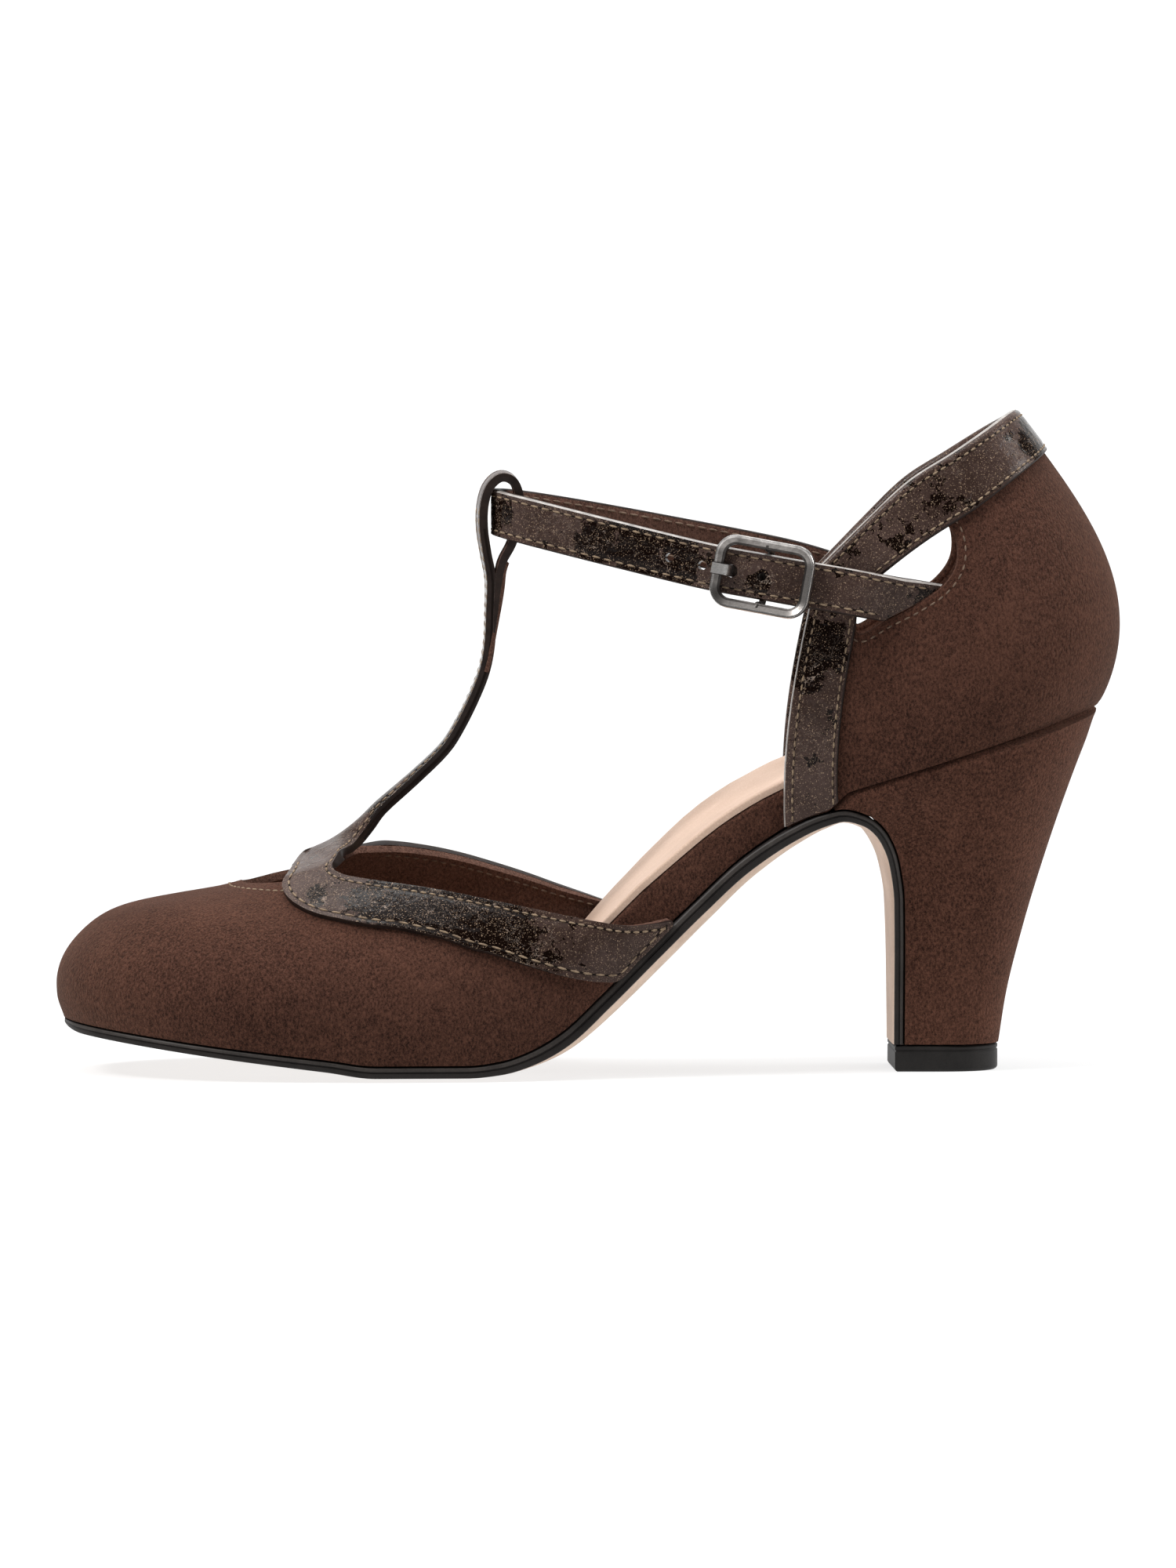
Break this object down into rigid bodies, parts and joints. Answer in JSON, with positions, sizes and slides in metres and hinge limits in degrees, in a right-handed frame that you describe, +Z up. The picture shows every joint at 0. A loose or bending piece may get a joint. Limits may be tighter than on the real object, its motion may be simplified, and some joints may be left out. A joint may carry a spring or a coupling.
{
  "type": "t-strap pump shoe",
  "caption": "Women's T-strap pump for the left foot: napped vamp and heel cup, crackled gloss straps and collar, buckled ankle strap, covered high heel.",
  "frame": {"origin": "middle of the shoe's outline, on the floor under it", "axes": "+X towards the heel, +Y towards the inner side of the foot, +Z up"},
  "size_m": [0.2265, 0.0748, 0.1402],
  "materials": {
    "suede": "brushed nap",
    "patent": "crackled gloss with fine glitter",
    "sock": "smooth matte",
    "outsole": "satin edge, pale matte bottom",
    "top_piece": "matte",
    "buckle": "antique satin"
  },
  "bodies": {
    "root": {"outsole": "outsole", "heel": "suede", "heel_top_piece": "top_piece", "insole_board": "suede", "insole": "sock", "vamp": "suede", "quarter": "suede", "quarter_trim": "patent", "t_strap": "patent", "ankle_strap": "patent", "buckle_frame": "buckle", "buckle_prong": "buckle"}
  },
  "joints": []
}
